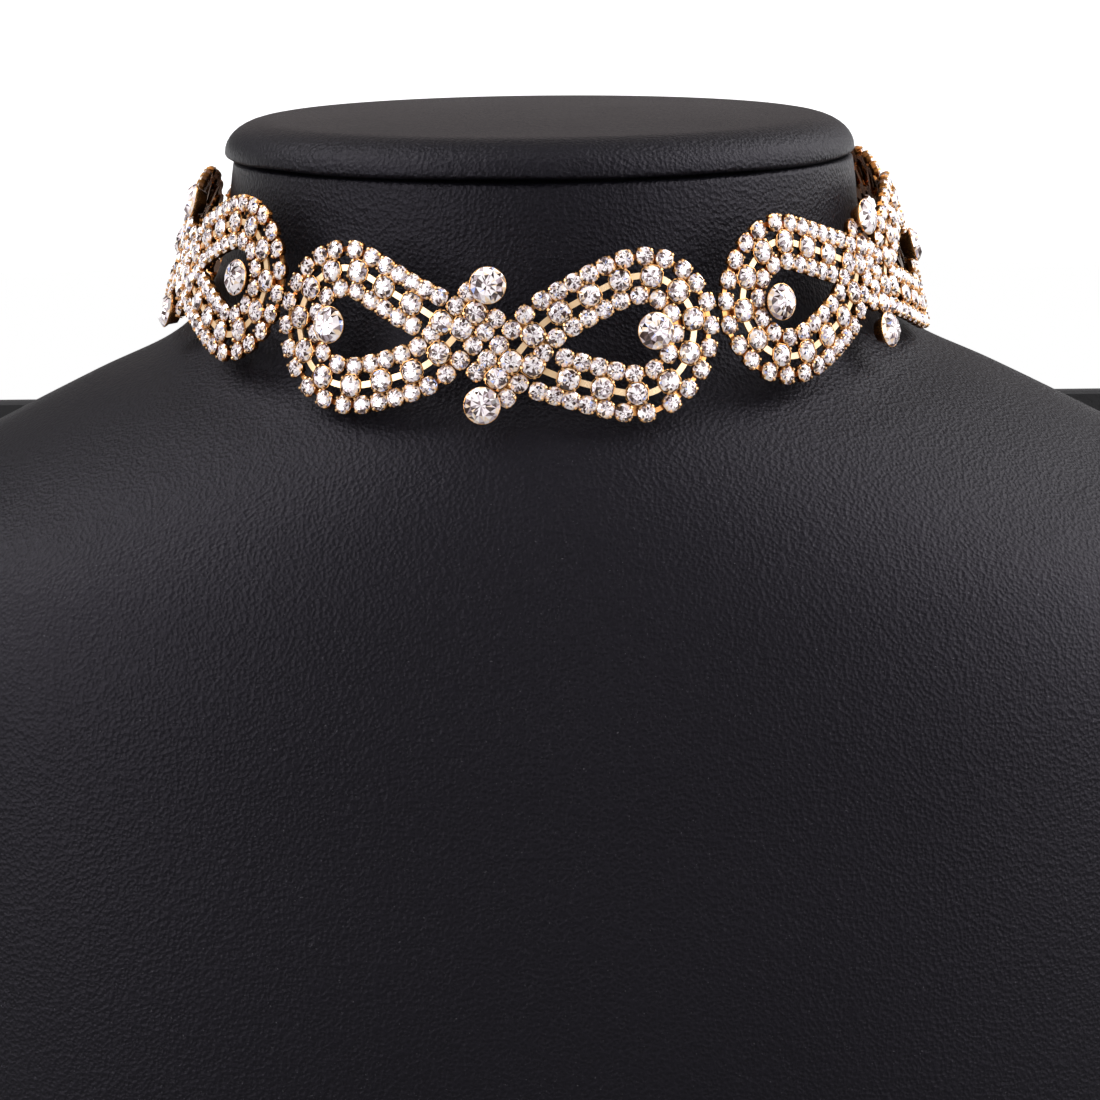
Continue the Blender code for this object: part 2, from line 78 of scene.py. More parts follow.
# Cups and cut stones
# columns: side of the cup, how far it is raised, share of the side that the stone reaches, crown
SMALL_SET = (2.62, 0.0, 0.508, 0.44)
MIDDLE_SET = (3.42, 0.25, 0.458, 0.50)
CUP_RIM = 1.16
WEDGES = 16
BIG_WEDGES = 20
BIG_STONE_REACH = 0.975
BIG_RIM = 2.34
BIG_CROWN = 0.92
# Strips of metal
# columns: width, height of the underside and of the top, painted shading of the top (the bars lighter,
# as if lit; the strips down between the cups darker, as in shade)
BAR_STRIP = (0.9, 0.85, 1.25, 0.95)
ROW_STRIP = (0.7, 0.12, 0.5, 0.5)
CROSS_STRIP = (0.8, 0.12, 0.45, 0.4)
BAR_START = 0.46
STRIP_STEP = 1.2
# Painted shade: a strip's underside is darkened to this share of its top.
UNDERSIDE_PAINTED_SHADE = 0.4

# Shape of one half of a motif
ARM_ANGLE = 50.7
ARM_GAP = 0.4
ARM_LENGTH = 4.9
LOOP_REACH = 29.6
LOOP_RISE = 8.2
# columns: share of LOOP_REACH, share of LOOP_RISE
LOOP_POINTS = (
    (0.330, -0.50),
    (0.650, -0.96),
    (0.850, -0.88),
    (0.970, -0.42),
    (1.000, 0.05),
    (0.950, 0.56),
    (0.840, 0.92),
    (0.690, 1.03),
    (0.380, 0.63),
)

# Big round stones
BIG_STONE = 5.4
BIG_TOP_SIDE = 0.25
BIG_TOP_RISE = 8.5
BIG_FOOT_SHARE = 0.78
INNER_OVERLAP = 0.55

# The loop round the neck
MOTIF_GAP = 0.3
CLASP_SPAN = 18.5
RING_DEPTH_SHARE = 1.07
RING_TILT = 9.7
BACK_SAG_SHARE = 0.30
BACK_SAG_POWER = 3
CONE_ANGLE = 16.3
TURN_ON_NECK = -8.1
# columns: name, places from the front, lift, tilt, rise of its two tips above its middle
MOTIFS = (
    ("front", 0, -1.0, 1.0, 1.9),
    ("left", -1, 0.4, 5.0, 0.0),
    ("right", 1, 0.4, -2.5, 0.0),
    ("back_left", -2, 0.0, 0.0, 0.0),
    ("back_right", 2, 0.0, 0.0, 0.0),
)

# Clasp and its rings
LINK_WIRE = 0.6
CLASP_HEIGHT = 3.4
CLASP_THICKNESS = 0.8
CLASP_EYE = 1.5
CLASP_REST = 0.6
CLASP_EDGE = 0.15
LINK_STEPS = 40
WIRE_SIDES = 12
WIRE_TONE = 0.75
EYE_SIDES = 36
CLASP_TONE = 0.85

# Bust
NECK_EASE = 6.6
NECK_TOP = 10.9
CAP_OVERHANG = 0.4
# As in the photo, the cap sits a little to the left and its seam higher than the solids'.
CAP_SHIFT = -0.5
SEAM_LIFT = 0.4
CAP_THICKNESS = 5.6
CAP_SHOULDER = 7.0
CAP_LOW_ROUND = 0.75
CAP_DOME = 1.0
CAP_DOME_DROP = 0.3
CAP_DOME_SHARES = (0.3, 0.55, 0.72, 0.8)
CAP_CROWN = 0.5
SEAM_GAP = 0.3
BOARD_CORNER = 12.0
# columns: share of the way through the board, how far in from its outline, in millimetres
BOARD_EDGE_ROWS = ((0.0, 0.6), (0.1, 0.15), (0.25, 0.0), (0.75, 0.0), (0.9, 0.15), (1.0, 0.6))
SEAT_GAP = 0.4
SEAT_DROP = 0.9
SHOULDER_HALF_WIDTH = 110.0
CHEST_DEPTH = 76.0
BACK_DEPTH = 52.0
BASE_DROP = 190.0
CHEST_DROP = 118.0
BASE_TAPER = 3.0
NECK_TUCK = 0.4
NECK_TUCK_DEPTH = 3.0
# columns: drop below the neck's top, tuck in from the neck's side, in millimetres
NECK_ROLL = ((0.0, 1.3), (0.12, 0.75), (0.4, 0.4), (0.9, 0.3))
ROLL_DEPTH = 1.4
# How far the two sides of the seam wander
NECK_WANDER = 0.10
CAP_WANDER = 0.16
WANDER_SPREAD = 2.2
WANDER_SEED = 11
CREASE_SHARE = 0.45
BACK_SEAT_SHARE = 0.6
BACK_SEAT_DROP = 26.0
# From the neck to the choker's lower edge.
# columns: row, share of the way out and share of the way down at front, side and back, squareness
NECK_ROWS = (
    ("nape", (0.12, 0.12, 0.0), (0.45, 0.50, 0.40), 2.0),
    ("root", (0.55, 0.50, 0.33), (0.82, 0.82, 0.73), 2.0),
    ("seat", (1.0, 1.0, 1.0), (1.0, 1.0, 1.0), 2.05),
)
# From there to the widest place.
# columns: row, share of the way out and drop in millimetres at front, side and back, squareness
SHOULDER_ROWS = (
    ("yoke", (0.20, 0.22, 1.0), (6.0, 5.3, 10.0), 2.15),
    ("shoulder", (0.42, 0.53, 1.0), (15.0, 13.4, 20.0), 2.3),
    ("shoulder_end", (0.64, 0.86, 1.0), (29.0, 22.7, 32.0), 2.5),
    ("arm", (0.84, 1.0, 1.0), (52.0, 41.2, 54.0), 2.7),
)
BASE_SQUARENESS = 2.8
SLOPE_POWER = 1.2
BUST_SIDES = 160
LOFT_STEPS = 8

# Camera and light
VIEW_DISTANCE = 700.0
VIEW_PITCH = 9.90
VIEW_ROLL = -0.595
VIEW_SIDE = 0.45
VIEW_DROP = 50.47
IMAGE_WIDTH = 1100
FOCAL_PIXELS = 4487.0
SENSOR = 36.0
CLIP_END = 50.0
SKY = 0.15
LAMP_SIDE = 0.8
LAMP_AIM = (0.0, 0.0, 0.12)
# columns: name, place in metres, watts, colour
LAMPS = (
    ("left_front_softbox", (-1.0, -0.7, 0.5), 9.6, (1.0, 0.98, 1.0)),
    ("left_high_softbox", (-0.8, 0.1, 1.0), 10.4, (1.0, 0.98, 1.0)),
    ("right_front_softbox", (1.0, -0.7, 0.5), 6.4, (1.0, 0.98, 1.0)),
    ("right_softbox", (1.1, 0.0, 0.65), 8.0, (1.0, 0.98, 1.0)),
    ("right_high_softbox", (0.8, 0.1, 1.0), 7.9, (1.0, 0.98, 1.0)),
    ("right_back_softbox", (0.9, 0.8, 0.6), 3.6, (1.0, 0.98, 1.0)),
    ("top_softbox", (0.0, -0.2, 1.3), 2.4, (1.0, 0.98, 1.0)),
    ("left_low_softbox", (-0.6, -1.1, 0.45), 1.6, (1.0, 0.98, 1.0)),
    ("right_low_softbox", (0.6, -1.1, 0.45), 1.6, (1.0, 0.98, 1.0)),
    ("back_softbox", (0.0, 1.1, 0.64), 0.6, (1.0, 0.84, 0.80)),
)
FLOOR_FLAT = 1.7
FLOOR_REACH = 2.4
FLOOR_RIM = 0.24
FLOOR_SIDES = 96
FLOOR_STEPS = 16
FLOOR_GLOW = 1.0
FLOOR_GLOW_RANGE = (0.4, 0.9)
FRONT_GLOW = 0.5
FAR_GLOW = 0.2
FRONT_GLOW_RANGE = (0.45, 0.85)

HALF_BAND = ROW_SPACING + SMALL_CUP / 2
ARM_OFFSET = HALF_BAND + ARM_GAP / 2
MOTIF_PITCH = 2 * (LOOP_REACH + HALF_BAND) + MOTIF_GAP
RING_LENGTH = len(MOTIFS) * MOTIF_PITCH + CLASP_SPAN
BIG_RADIUS = BIG_STONE / 2

cap_low, cap_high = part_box("bust_cap")
NECK_ORIGIN = Vector((
    (cap_low[0] + cap_high[0]) / 2,
    (cap_low[1] + cap_high[1]) / 2,
    cap_low[2] - (NECK_TOP + SEAM_GAP) * MM))


# Node materials


class Value:
    """The output of a node. Arithmetic on it adds Math nodes."""

    def __init__(self, finish, socket):
        self.finish = finish
        self.socket = socket

    def math(self, operation, first, second):
        return self.finish.node("ShaderNodeMath", {"operation": operation}, {0: first, 1: second})

    def __add__(self, other):
        return self.math("ADD", self, other)

    def __sub__(self, other):
        return self.math("SUBTRACT", self, other)

    def __mul__(self, other):
        return self.math("MULTIPLY", self, other)


class Finish:
    """A material, built node by node round its Principled shader."""

    def __init__(self, name):
        self.material = bpy.data.materials.new(name)
        self.material.use_nodes = True
        self.tree = self.material.node_tree
        self.shader = self.tree.nodes["Principled BSDF"]

    def node(self, kind, settings=None, sockets=None, output=0):
        made = self.tree.nodes.new(kind)
        for key, value in (settings or {}).items():
            if key == "stops":
                self.set_stops(made.color_ramp, value)
            else:
                setattr(made, key, value)
        for key, value in (sockets or {}).items():
            self.put(made.inputs[key], value)
        return Value(self, made.outputs[output])

    def put(self, socket, value):
        if isinstance(value, Value):
            self.tree.links.new(value.socket, socket)
        else:
            socket.default_value = value

    @staticmethod
    def set_stops(ramp, stops):
        while len(ramp.elements) < len(stops):
            ramp.elements.new(1.0)
        for element, (place, colour) in zip(ramp.elements, stops):
            element.position = place
            element.color = (*colour, 1.0)

    def set(self, **sockets):
        for key, value in sockets.items():
            self.put(self.shader.inputs[key.replace("_", " ")], value)

    def mix(self, factor, first, second):
        """A colour between two others."""
        pair = {0: factor, 6: opaque(first), 7: opaque(second)}
        return self.node("ShaderNodeMix", {"data_type": "RGBA"}, pair, 2)

    def place(self):
        return self.node("ShaderNodeTexCoord", output="Object")

    def noise(self, size, detail=3.0, roughness=0.5, place=None):
        """Cloudy values from 0 to 1 whose patches are about size millimetres across."""
        sockets = {
            "Vector": place or self.place(),
            "Scale": 1.0 / (size * MM),
            "Detail": detail,
            "Roughness": roughness,
        }
        return self.node("ShaderNodeTexNoise", None, sockets)

    def cells(self, size):
        """Distance within cells that are about size millimetres across."""
        sockets = {"Vector": self.place(), "Scale": 1.0 / (size * MM)}
        return self.node("ShaderNodeTexVoronoi", {"feature": "F1"}, sockets)

    def kept(self, name):
        """A value that the mesh keeps for each face or point."""
        return self.node("ShaderNodeAttribute", {"attribute_name": name}, output="Fac")

    def ramp(self, factor, stops):
        return self.node("ShaderNodeValToRGB", {"stops": stops}, {"Fac": factor})

    def range(self, value, low, high, new_low=0.0, new_high=1.0):
        sockets = {0: value, 1: low, 2: high, 3: new_low, 4: new_high}
        return self.node("ShaderNodeMapRange", {"clamp": True}, sockets)

    def bump(self, height, depth):
        """A normal for relief that is depth millimetres deep where height is 1."""
        sockets = {"Height": height, "Distance": depth * MM, "Strength": 1.0}
        return self.node("ShaderNodeBump", None, sockets)


def opaque(colour):
    return colour if isinstance(colour, Value) else (*colour, 1.0)


def leatherette_finish(name, creased):
    """Fine pebbled leatherette. Where creased is set, it is drawn into upright creases."""
    finish = Finish(name)
    cells = finish.cells(0.62)
    pits = finish.noise(0.34, 3.0, 0.65)
    swell = finish.noise(5.0, 3.0)
    cloud = finish.noise(38.0, 2.0)
    specks = finish.range(finish.noise(0.24, 1.0), 0.74, 0.80)
    height = cells * 0.9 + pits * 0.8 + swell * 0.5
    if creased:
        upright = finish.node(
            "ShaderNodeVectorMath", {"operation": "MULTIPLY"}, {0: finish.place(), 1: (1.0, 1.0, 0.16)})
        creases = finish.noise(1.1, 3.0, 0.55, upright)
        height = height + creases * finish.kept("depth") * 1.3
    raised = finish.range(cells, 0.15, 0.75)
    colour = finish.mix(raised * 0.6 + cloud * 0.3, (0.0014, 0.0013, 0.0020), (0.0044, 0.0041, 0.0060))
    finish.set(
        Base_Color=finish.mix(specks * 0.5, colour, (0.16, 0.155, 0.17)),
        Roughness=finish.range(pits + cloud * 0.3, 0.45, 0.95, 0.34, 0.50),
        Normal=finish.bump(height, 0.15))
    finish.shader.inputs["Specular IOR Level"].default_value = 0.172
    finish.shader.inputs["Specular Tint"].default_value = (0.90, 0.85, 1.0, 1.0)
    return finish.material


def board_finish():
    finish = Finish("black_covered_board")
    fibre = finish.noise(0.9, 4.0, 0.7)
    cloud = finish.noise(25.0, 2.0)
    finish.set(
        Base_Color=finish.mix(cloud * 0.6 + fibre * 0.4, (0.008, 0.008, 0.009), (0.02, 0.02, 0.022)),
        Roughness=finish.range(fibre, 0.2, 0.8, 0.55, 0.75),
        Normal=finish.bump(fibre, 0.06))
    return finish.material


def gold_finish():
    finish = Finish("pale_gold_plate")
    # Painted shade and light: the kept "depth" value is each part's painted shading. It is low in the
    # cups' hollows, under the strips and at the prongs' feet, and high on rims, prong tips and bars. It
    # runs the ramp from dark brown shade to pale lit gold, and the lighter parts are made less
    # metallic. Only the cloud adds tone that differs at random.
    depth = finish.kept("depth")
    cloud = finish.noise(2.2, 2.0)
    fine = finish.noise(0.35, 3.0, 0.6)
    painted_shading = finish.range(depth + cloud * 0.15, 0.05, 1.15)
    finish.set(
        Base_Color=finish.ramp(painted_shading, (
            (0.0, (0.07, 0.024, 0.006)),
            (0.30, (0.42, 0.165, 0.042)),
            (0.60, (0.80, 0.42, 0.15)),
            (0.85, (0.93, 0.62, 0.33)),
            (1.0, (0.97, 0.80, 0.56)))),
        Metallic=finish.range(painted_shading, 0.3, 0.95, 1.0, 0.4),
        Roughness=finish.range(cloud * 0.6 + fine * 0.4, 0.3, 0.7, 0.18, 0.30),
        Normal=finish.bump(fine, 0.004))
    return finish.material


def crystal_finish():
    """Foil-backed cut glass: each facet keeps the shade of what it throws back."""
    finish = Finish("foil_backed_crystal")
    facet = finish.kept("facet")
    cloud = finish.noise(0.5, 2.0)
    shade = finish.range(facet + (cloud - 0.5) * 0.10, 0.0, 1.0)
    # Painted reflections: the ramp runs from dark through lilac greys to white, then warm reflections
    # of the gold and a blue for fire.
    colour = finish.ramp(shade, (
        (0.00, (0.016, 0.006, 0.005)),
        (0.12, (0.056, 0.024, 0.017)),
        (0.22, (0.19, 0.125, 0.12)),
        (0.42, (0.45, 0.37, 0.42)),
        (0.60, (0.84, 0.74, 0.76)),
        (0.72, (0.96, 0.88, 0.89)),
        (0.88, (1.0, 0.96, 0.96)),
        (0.92, (0.96, 0.78, 0.62)),
        (0.965, (0.92, 0.68, 0.44)),
        (0.99, (0.42, 0.52, 0.95))))
    finish.set(
        Base_Color=colour,
        Metallic=finish.range(cloud, 0.2, 0.8, 0.10, 0.30),
        Roughness=finish.range(cloud, 0.3, 0.7, 0.06, 0.14),
        Coat_Weight=1.0)
    finish.shader.inputs["Coat Roughness"].default_value = 0.02
    finish.shader.inputs["IOR"].default_value = 1.55
    return finish.material


# Curves that the bands follow


def smooth_through(points, steps):
    """Points on a Catmull-Rom curve through the given points, ends included."""
    knots = np.array(points, dtype=float)
    before = 2 * knots[0] - knots[1]
    after = 2 * knots[-1] - knots[-2]
    padded = np.vstack([before, knots, after])
    found = []
    for k in range(1, len(padded) - 2):
        p0, p1, p2, p3 = padded[k - 1:k + 3]
        for step in range(steps):
            f = step / steps
            found.append(0.5 * (2 * p1 + (p2 - p0) * f + (2 * p0 - 5 * p1 + 4 * p2 - p3) * f ** 2
                                + (3 * p1 - p0 - 3 * p2 + p3) * f ** 3))
    found.append(knots[-1])
    return np.array(found)


def turned(x, y, degrees):
    c = math.cos(math.radians(degrees))
    s = math.sin(math.radians(degrees))
    return x * c - y * s, x * s + y * c


class HalfPath:
    """Middle line of one half of a motif, in the flat plane of the motif."""

    def __init__(self):
        angle = math.radians(ARM_ANGLE)
        self.down = np.array([-math.cos(angle), -math.sin(angle)])
        self.aside = np.array([-math.sin(angle), math.cos(angle)])
        self.foot = ARM_OFFSET * self.aside
        big_top = np.array([BIG_TOP_SIDE, BIG_TOP_RISE])
        start = (big_top - self.foot) @ self.down + BIG_RADIUS * BIG_FOOT_SHARE + MOTIF_GAP
        arm = [self.foot + start * self.down, self.foot, self.foot + ARM_LENGTH * self.down]
        loop = [np.array([-LOOP_REACH * reach, LOOP_RISE * rise]) for reach, rise in LOOP_POINTS]
        away = loop[-1] - loop[-2]
        away = away / np.linalg.norm(away)
        run = (self.from_arm(loop[-1]) - HALF_BAND - ARM_GAP) / -(away @ self.aside)
        self.line = smooth_through(arm + loop + [loop[-1] + run * away], 12)
        steps = np.linalg.norm(np.diff(self.line, axis=0), axis=1)
        self.along = np.concatenate([[0.0], np.cumsum(steps)])
        self.length = float(self.along[-1])

    def from_arm(self, point):
        """How far a point lies to the side of the first arm's middle line."""
        return float((point - self.foot) @ self.aside)

    def middle(self, s):
        inside = min(max(s, 0.0), self.length)
        point = np.array([np.interp(inside, self.along, self.line[:, k]) for k in (0, 1)])
        return point + (s - inside) * self.heading(inside) if s != inside else point

    def heading(self, s):
        step = 0.4
        ends = [min(max(s + way, 0.0), self.length) for way in (-step, step)]
        a, b = (np.array([np.interp(end, self.along, self.line[:, k]) for k in (0, 1)]) for end in ends)
        return (b - a) / np.linalg.norm(b - a)

    def place(self, s, t):
        """Flat point at length s along the line and t to its outer side."""
        way = self.heading(min(max(s, 0.0), self.length))
        return self.middle(s) + t * np.array([-way[1], way[0]])

    def stretch(self, s, t):
        """Length of the row at t for each millimetre of the middle line."""
        return float(np.linalg.norm(self.place(s + 0.5, t) - self.place(s - 0.5, t)))


class Neckline:
    """The loop round the neck: a tilted oval whose back sags, widening downwards."""

    def __init__(self):
        t = np.linspace(-math.pi, math.pi, 1441)
        shape = self.shape(t)
        unit = np.concatenate([[0.0], np.cumsum(np.linalg.norm(np.diff(shape, axis=0), axis=1))])
        self.radius = RING_LENGTH / unit[-1]
        self.turns = t
        self.along = unit * self.radius - RING_LENGTH / 2

    @staticmethod
    def shape(t):
        x = np.sin(t)
        y = -RING_DEPTH_SHARE * np.cos(t)
        sag = BACK_SAG_SHARE * ((1 - np.cos(t)) / 2) ** BACK_SAG_POWER
        z = y * math.tan(math.radians(RING_TILT)) - sag
        return np.stack([x, y, z], axis=-1)

    def frame(self, u):
        """Centre point, outward and upward directions of the band at length u."""
        u = (u + RING_LENGTH / 2) % RING_LENGTH - RING_LENGTH / 2
        t = float(np.interp(u, self.along, self.turns))
        step = 0.002
        ahead, here, behind = self.shape(np.array([t + step, t, t - step])) * self.radius
        way = Vector(ahead - behind).normalized()
        level = Vector((way.y, -way.x, 0.0)).normalized()
        rise = way.cross(level) * -1.0
        lean = math.radians(CONE_ANGLE - RING_TILT * math.cos(t))
        up = rise * math.cos(lean) - level * math.sin(lean)
        out = level * math.cos(lean) + rise * math.sin(lean)
        return Vector(here), out, up

    def point(self, u, v, w):
        """Point u along the loop, v up the band and w out from its back."""
        centre, out, up = self.frame(u)
        return centre + up * v + out * w


neckline = Neckline()
path = HalfPath()


def motif_point(motif, half, x, y, w):
    """Maps a flat point of a motif's half onto the neckline. half is 1 or -1."""
    place, lift, tilt, bow = motif[1:]
    rise = lift + bow * (2 * x / MOTIF_PITCH) ** 2
    x, y = turned(x * half, y * half, tilt)
    return neckline.point(TURN_ON_NECK + place * MOTIF_PITCH + x, rise + y, w)


def seat_at(motif, half, spot, way):
    """Turn and place of a cup on the flat point spot, its first side along way."""
    centre = motif_point(motif, half, *spot, 0.0)
    along = (motif_point(motif, half, *(spot + 0.5 * way), 0.0) - centre).normalized()
    out = (motif_point(motif, half, *spot, 1.0) - centre).normalized()
    along = (along - out * along.dot(out)).normalized()
    side = out.cross(along)
    turn = Matrix((along, side, out)).transposed().to_4x4()
    return Matrix.Translation(centre) @ turn


# Meshes


class Net:
    """Points and faces in millimetres, each with the one value that its finish reads."""

    def __init__(self, kept):
        self.kept = kept
        self.points = []
        self.faces = []
        self.values = []

    def add(self, points, faces, values, seat=None):
        first = len(self.points)
        self.points += [seat @ Vector(p) if seat else Vector(p) for p in points]
        self.faces += [tuple(first + k for k in face) for face in faces]
        self.values += values

    def piece(self, name, material, slot, smooth=False):
        mesh = bpy.data.meshes.new(name)
        points = [NECK_ORIGIN + p * MM for p in self.points]
        mesh.from_pydata([tuple(p) for p in points], [], self.faces)
        on_points = self.kept == "depth"
        kept = mesh.attributes.new(self.kept, "FLOAT", "POINT" if on_points else "FACE")
        kept.data.foreach_set("value", np.array(self.values, dtype=np.float32))
        return finish_piece(name, mesh, material, smooth)


def finish_piece(name, mesh, material, smooth):
    mesh.materials.append(material)
    mesh.polygons.foreach_set("use_smooth", [smooth] * len(mesh.polygons))
    piece = bpy.data.objects.new(name, mesh)
    bpy.context.scene.collection.objects.link(piece)
    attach(piece, "root")
    return piece


def prism(outlines, closed=True):
    """Points and faces of a solid through outlines of equal count, its ends filled."""
    count = len(outlines[0])
    points = [p for outline in outlines for p in outline]
    faces = []
    for level in range(len(outlines) - 1):
        low = level * count
        for k in range(count):
            after = (k + 1) % count
            faces.append((low + k, low + after, low + count + after, low + count + k))
    if closed:
        last = (len(outlines) - 1) * count
        faces.append(tuple(reversed(range(count))))
        faces.append(tuple(last + k for k in range(count)))
    return points, faces


# Set stones

# A cup is a square with cut corners.
# columns: share of the side, height in millimetres, painted shading of the metal: dark in the hollow at
# the foot and inside the lip, light on the rim
CUP_LEVELS = (
    (0.74, 0.10, 0.05),
    (0.90, 0.45, 0.12),
    (0.98, 1.02, 0.36),
    (0.98, 1.16, 0.52),
    (0.93, 1.18, 0.55),
    (0.80, 0.70, 0.10),
)
CUP_CORNER = 0.27
# The prong at each corner leans in over the stone.
# columns: share of the half side out from the middle, height, width, thickness, painted shading (dark
# at the foot, light at the tip), lean
PRONG_LEVELS = (
    (1.08, 0.50, 0.36, 0.20, 0.10, 0.0),
    (1.08, 1.15, 0.38, 0.22, 0.40, 0.0),
    (1.01, 1.42, 0.36, 0.20, 0.65, 0.5),
    (0.87, 1.54, 0.24, 0.16, 0.85, 0.5),
)


def cut_square(half, height):
    cut = half * (1 - 2 * CUP_CORNER)
    corners = ((1, 0), (0, 1), (-1, 0), (0, -1))
    points = []
    for cx, cy in corners:
        for side in (-1, 1):
            x = cx * half - cy * side * cut
            y = cy * half + cx * side * cut
            points.append((x, y, height))
    return points


def add_cup(metal, seat, side, rise):
    """A cup of the given side with four prongs, its rim raised by rise."""
    half = side / 2
    outlines = [cut_square(half * share, height + rise) for share, height, painted_shading in CUP_LEVELS]
    points, faces = prism(outlines)
    # Painted shade and light: each point takes its level's painted shading.
    painted_shadings = [painted_shading for share, height, painted_shading in CUP_LEVELS for k in range(8)]
    metal.add(points, faces, painted_shadings, seat)
    for corner in range(4):
        angle = math.radians(45.0 + 90.0 * corner)
        way = Vector((math.cos(angle), math.sin(angle), 0.0))
        across = Vector((-way.y, way.x, 0.0))
        outlines = []
        for reach, height, width, thickness, painted_shading, lean_share in PRONG_LEVELS:
            middle = way * half * reach + Vector((0.0, 0.0, height + rise))
            lean = Vector((0.0, 0.0, thickness * lean_share))
            outlines.append([
                middle + across * width / 2 + way * thickness / 2 + lean,
                middle - across * width / 2 + way * thickness / 2 + lean,
                middle - across * width / 2 - way * thickness / 2 - lean,
                middle + across * width / 2 - way * thickness / 2 - lean])
        points, faces = prism([list(reversed(outline)) for outline in outlines])
        # Painted shade and light: each prong level's painted shading, dark at the foot and light at the
        # tip.
        painted_shadings = [level[4] for level in PRONG_LEVELS for k in range(4)]
        metal.add(points, faces, painted_shadings, seat)


# Rings of a cut stone from its table down to its foot.
# columns: share of the radius, share of the crown's height, drop in millimetres, whether its
# points are drawn together in pairs, how far they stray
STONE_RINGS = (
    (0.26, 1.03, 0.0, False, 0.28),
    (0.58, 1.0, 0.0, True, 0.28),
    (0.84, 0.42, 0.0, False, 0.28),
    (1.00, 0.0, 0.0, True, 0.0),
    (0.96, 0.0, 0.12, True, 0.0),
    (0.62, 0.0, 0.5, True, 0.28),
)
STONE_TOP = 1.05
PAIR_SHARES = (0.28, 0.44)
# Facets: the shades that each kind is drawn from, which the crystal's colours are set by. They are
# painted reflections: dark, grey and bright facets, warm ones that throw back the gold, and a blue for
# the stone's fire.
DARK = (0.0, 0.20)
GREY = (0.24, 0.52)
BRIGHT = (0.66, 0.89)
WARM = (0.93, 0.96)
BLUE = 1.0
BLUE_CHANCE = 0.015
# Painted shade of the skirt and foot below the girdle.
SKIRT = 0.35
FOOT = 0.2
TABLE_DARK = (0.02, 0.45)
TABLE_BRIGHT = (0.70, 0.9)
TABLE_BRIGHT_CHANCE = 0.68
FACET_SEED = 7
# columns: chance of a dark, a grey and a warm facet, in the table's ring, the kites and the edge
FACET_CHANCES = (
    (0.40, 0.16, 0.03),
    (0.36, 0.20, 0.12),
    (0.26, 0.24, 0.30),
)


def add_stone(crystals, seat, radius, girdle, crown, count, chance):
    """A cut stone: wedges and a ring of facets on its table, kites round it, and a skirt."""
    turn = chance.uniform(0.0, 2 * math.pi)
    pairs = chance.uniform(*PAIR_SHARES, count // 2)

    def ring(share, height, paired, stray):
        found = []
        for k in range(count):
            step = (k // 2 * 2 + (2 * pairs[k // 2] if k % 2 and paired else k % 2)) / count
            angle = turn + 2 * math.pi * (step + stray * chance.uniform(-0.5, 0.5) / count)
            reach = radius * share * (1.0 + stray * chance.uniform(-0.3, 0.3))
            found.append((reach * math.cos(angle), reach * math.sin(angle), height))
        return found

    rings = [
        ring(share, girdle + crown * rise - drop, paired, stray)
        for share, rise, drop, paired, stray in STONE_RINGS]
    points = [(0.0, 0.0, girdle + crown * STONE_TOP)] + [point for level in rings for point in level]
    faces = []
    shades = []
    axis = chance.uniform(0.0, math.pi)
    for k in range(count):
        after = (k + 1) % count
        faces.append((0, 1 + k, 1 + after))
        bright = chance.random() < TABLE_BRIGHT_CHANCE
        shades.append(chance.uniform(*(TABLE_BRIGHT if bright else TABLE_DARK)))
    for level in range(len(rings) - 1):
        low = 1 + level * count
        high = low + count
        for k in range(count):
            after = (k + 1) % count
            a, b, c, d = low + k, high + k, high + after, low + after
            if level < len(FACET_CHANCES):
                faces += [(a, b, d), (b, c, d)] if (k + level) % 2 else [(a, b, c), (a, c, d)]
                fan = 0.5 + 0.5 * math.cos(2 * (turn + 2 * math.pi * (k + 0.5) / count - axis))
                shades += [facet_shade(level, fan, chance) for part in range(2)]
            else:
                faces.append((a, b, c, d))
                shades.append(SKIRT)
    last = 1 + (len(rings) - 1) * count
    faces.append(tuple(last + k for k in reversed(range(count))))
    shades.append(FOOT)
    crystals.add(points, faces, shades, seat)


def facet_shade(level, fan, chance):
    """Painted reflection of a facet, as a shade. The dark ones gather where fan is near 1, on two sides
    of the stone.
    """
    dark, grey, warm = FACET_CHANCES[level]
    dark *= 0.35 + 1.3 * fan * fan
    pick = chance.random()
    if pick < dark:
        return chance.uniform(*DARK)
    if pick < dark + grey:
        return chance.uniform(*GREY)
    if pick > 1 - warm:
        return chance.uniform(*WARM)
    if pick > 1 - warm - BLUE_CHANCE:
        return BLUE
    return chance.uniform(*BRIGHT)


def row_strip(metal, motif, half, spots, strip):
    """A flat strip of metal through flat points."""
    width, low, high, painted_shading = strip
    outlines = []
    for k, spot in enumerate(spots):
        way = spots[min(k + 1, len(spots) - 1)] - spots[max(k - 1, 0)]
        way = way / np.linalg.norm(way)
        aside = np.array([-way[1], way[0]]) * width / 2
        left, right = spot + aside, spot - aside
        outlines.append([
            motif_point(motif, half, *right, low),
            motif_point(motif, half, *left, low),
            motif_point(motif, half, *left, high),
            motif_point(motif, half, *right, high)])
    points, faces = prism(outlines)
    # Painted shade: the underside is darker than the top.
    under = painted_shading * UNDERSIDE_PAINTED_SHADE
    metal.add(points, faces, [under, under, painted_shading, painted_shading] * len(outlines))


def middle_places():
    """Lengths along the path of the middle row's stones."""
    second = FIRST_STONE + MIDDLE_STONE
    last = path.length - UNIT_PITCH / 2 - SMALL_CUP / 2
    count = round((last - second) / UNIT_PITCH)
    pitch = (last - second) / count
    return [FIRST_STONE] + [second + k * pitch for k in range(count + 1)]


